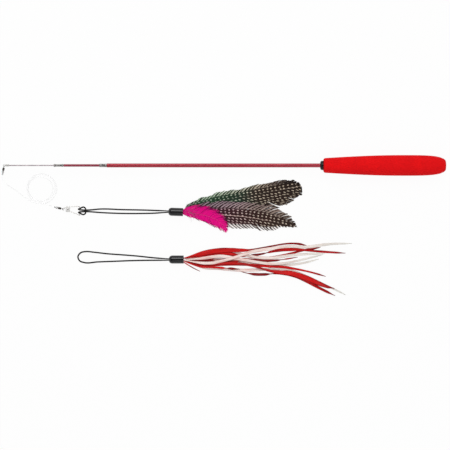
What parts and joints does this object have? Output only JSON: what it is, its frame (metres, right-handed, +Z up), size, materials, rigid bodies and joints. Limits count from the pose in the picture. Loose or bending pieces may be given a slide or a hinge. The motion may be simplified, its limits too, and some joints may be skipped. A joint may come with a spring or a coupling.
{
  "type": "telescopic cat teaser wand",
  "caption": "Telescopic cat teaser wand: foam grip, three-section tube, swivelled nylon line with snap and feather toy, spare ribbon toy.",
  "frame": {"origin": "on the table, under the centre of the object's box without its cords", "axes": "+X along the wand towards the butt of the grip, +Y from the toys towards the wand, +Z up from the table"},
  "size_m": [0.4438, 0.141, 0.0207],
  "materials": {
    "foam": "closed-cell EVA foam, ground smooth, matt red",
    "black_plastic": "moulded black plastic",
    "red_lacquer": "metallic crimson lacquer on steel tube",
    "dark_red_lacquer": "metallic dark red lacquer on steel tube",
    "chrome": "bright chrome plate",
    "steel": "drawn stainless steel rod",
    "brass": "split brass sleeve",
    "dark_nickel": "black nickel plate",
    "bright_nickel": "bright nickel plated wire and sheet",
    "nylon": "clear nylon monofilament",
    "elastic": "black braided elastic cord",
    "gloss_black": "glossy black moulded cap",
    "thread": "waxed binding thread",
    "green_feather": "guinea fowl feather dyed green towards its base",
    "pink_feather": "guinea fowl feather tinted pink",
    "hackle": "soft hackle feather dyed hot pink",
    "red_ribbon": "satin finished red ribbon",
    "pearl_ribbon": "pearly white film ribbon"
  },
  "bodies": {
    "handle": {"grip": "foam", "grip_core": "black_plastic", "outer_tube": "red_lacquer", "outer_collar": "chrome", "tube_plug": "black_plastic"},
    "middle_section": {"middle_tube": "dark_red_lacquer", "middle_collar": "chrome", "middle_friction_sleeve": "brass"},
    "rod_and_line": {"inner_rod": "steel", "inner_friction_sleeve": "brass", "tip_ferrule": "dark_nickel", "tip_eye": "dark_nickel", "tip_swivel_eye_upper": "dark_nickel", "tip_swivel_eye_lower": "dark_nickel", "line_knot_top": "nylon", "line_upper_run": "nylon", "line_coil": "nylon", "line_lower_run": "nylon", "line_knot_bottom": "nylon", "snap_swivel_eye_line": "dark_nickel", "snap_swivel_eye_snap": "dark_nickel", "snap_frame": "bright_nickel", "snap_clasp": "bright_nickel", "snap_rivet": "dark_nickel", "snap_hinge_pin": "dark_nickel"},
    "tip_barrel": {"tip_swivel_barrel": "dark_nickel"},
    "snap_barrel": {"snap_swivel_barrel": "dark_nickel"},
    "gate": {"snap_gate": "bright_nickel"},
    "feather_toy": {"feather_hitch": "elastic", "feather_strand_upper": "elastic", "feather_strand_lower": "elastic", "feather_cap": "gloss_black", "feather_cord_knot": "elastic", "feather_binding": "thread", "guinea_feather_green": "green_feather", "guinea_feather_pink": "pink_feather", "pink_hackle": "hackle"},
    "ribbon_toy": {"ribbon_loop": "elastic", "ribbon_cap": "gloss_black", "ribbon_cord_knot": "elastic", "ribbon_binding": "thread", "red_ribbon_1": "red_ribbon", "red_ribbon_2": "red_ribbon", "red_ribbon_3": "red_ribbon", "red_ribbon_4": "red_ribbon", "red_ribbon_5": "red_ribbon", "red_ribbon_6": "red_ribbon", "red_ribbon_7": "red_ribbon", "red_ribbon_8": "red_ribbon", "red_ribbon_9": "red_ribbon", "pearl_ribbon_1": "pearl_ribbon", "pearl_ribbon_2": "pearl_ribbon", "pearl_ribbon_3": "pearl_ribbon", "pearl_ribbon_4": "pearl_ribbon", "pearl_ribbon_5": "pearl_ribbon", "pearl_ribbon_6": "pearl_ribbon"}
  },
  "joints": [
    {"name": "middle_tube_slide", "type": "slide", "parent": "handle", "child": "middle_section", "axis": [-1, 0, 0], "range_m": [-0.0355, 0.23]},
    {"name": "inner_rod_slide", "type": "slide", "parent": "middle_section", "child": "rod_and_line", "axis": [-1, 0, 0], "range_m": [-0.0443, 0.223]},
    {"name": "tip_swivel_spin", "type": "hinge", "parent": "rod_and_line", "child": "tip_barrel", "pos_m": [-0.21999, 0.05646, 0.00932], "axis": [-0.2203, -0.9213, -0.3204], "continuous": true},
    {"name": "snap_swivel_spin", "type": "hinge", "parent": "rod_and_line", "child": "snap_barrel", "pos_m": [-0.16462, 0.01754, 0.00175], "axis": [0.974, -0.2152, 0.0701], "continuous": true},
    {"name": "snap_gate_hinge", "type": "hinge", "parent": "rod_and_line", "child": "gate", "pos_m": [-0.14462, 0.01084, 0.00205], "axis": [0, 0, 1], "range_deg": [0, 35]},
    {"name": "feather_toy_swing", "type": "hinge", "parent": "rod_and_line", "child": "feather_toy", "pos_m": [-0.14432, 0.01494, 0.00205], "axis": [0, -1, 0], "range_deg": [0, 90]},
    {"name": "ribbon_toy_lift", "type": "slide", "parent": "handle", "child": "ribbon_toy", "axis": [0, 0, 1], "range_m": [0, 0.06]}
  ]
}
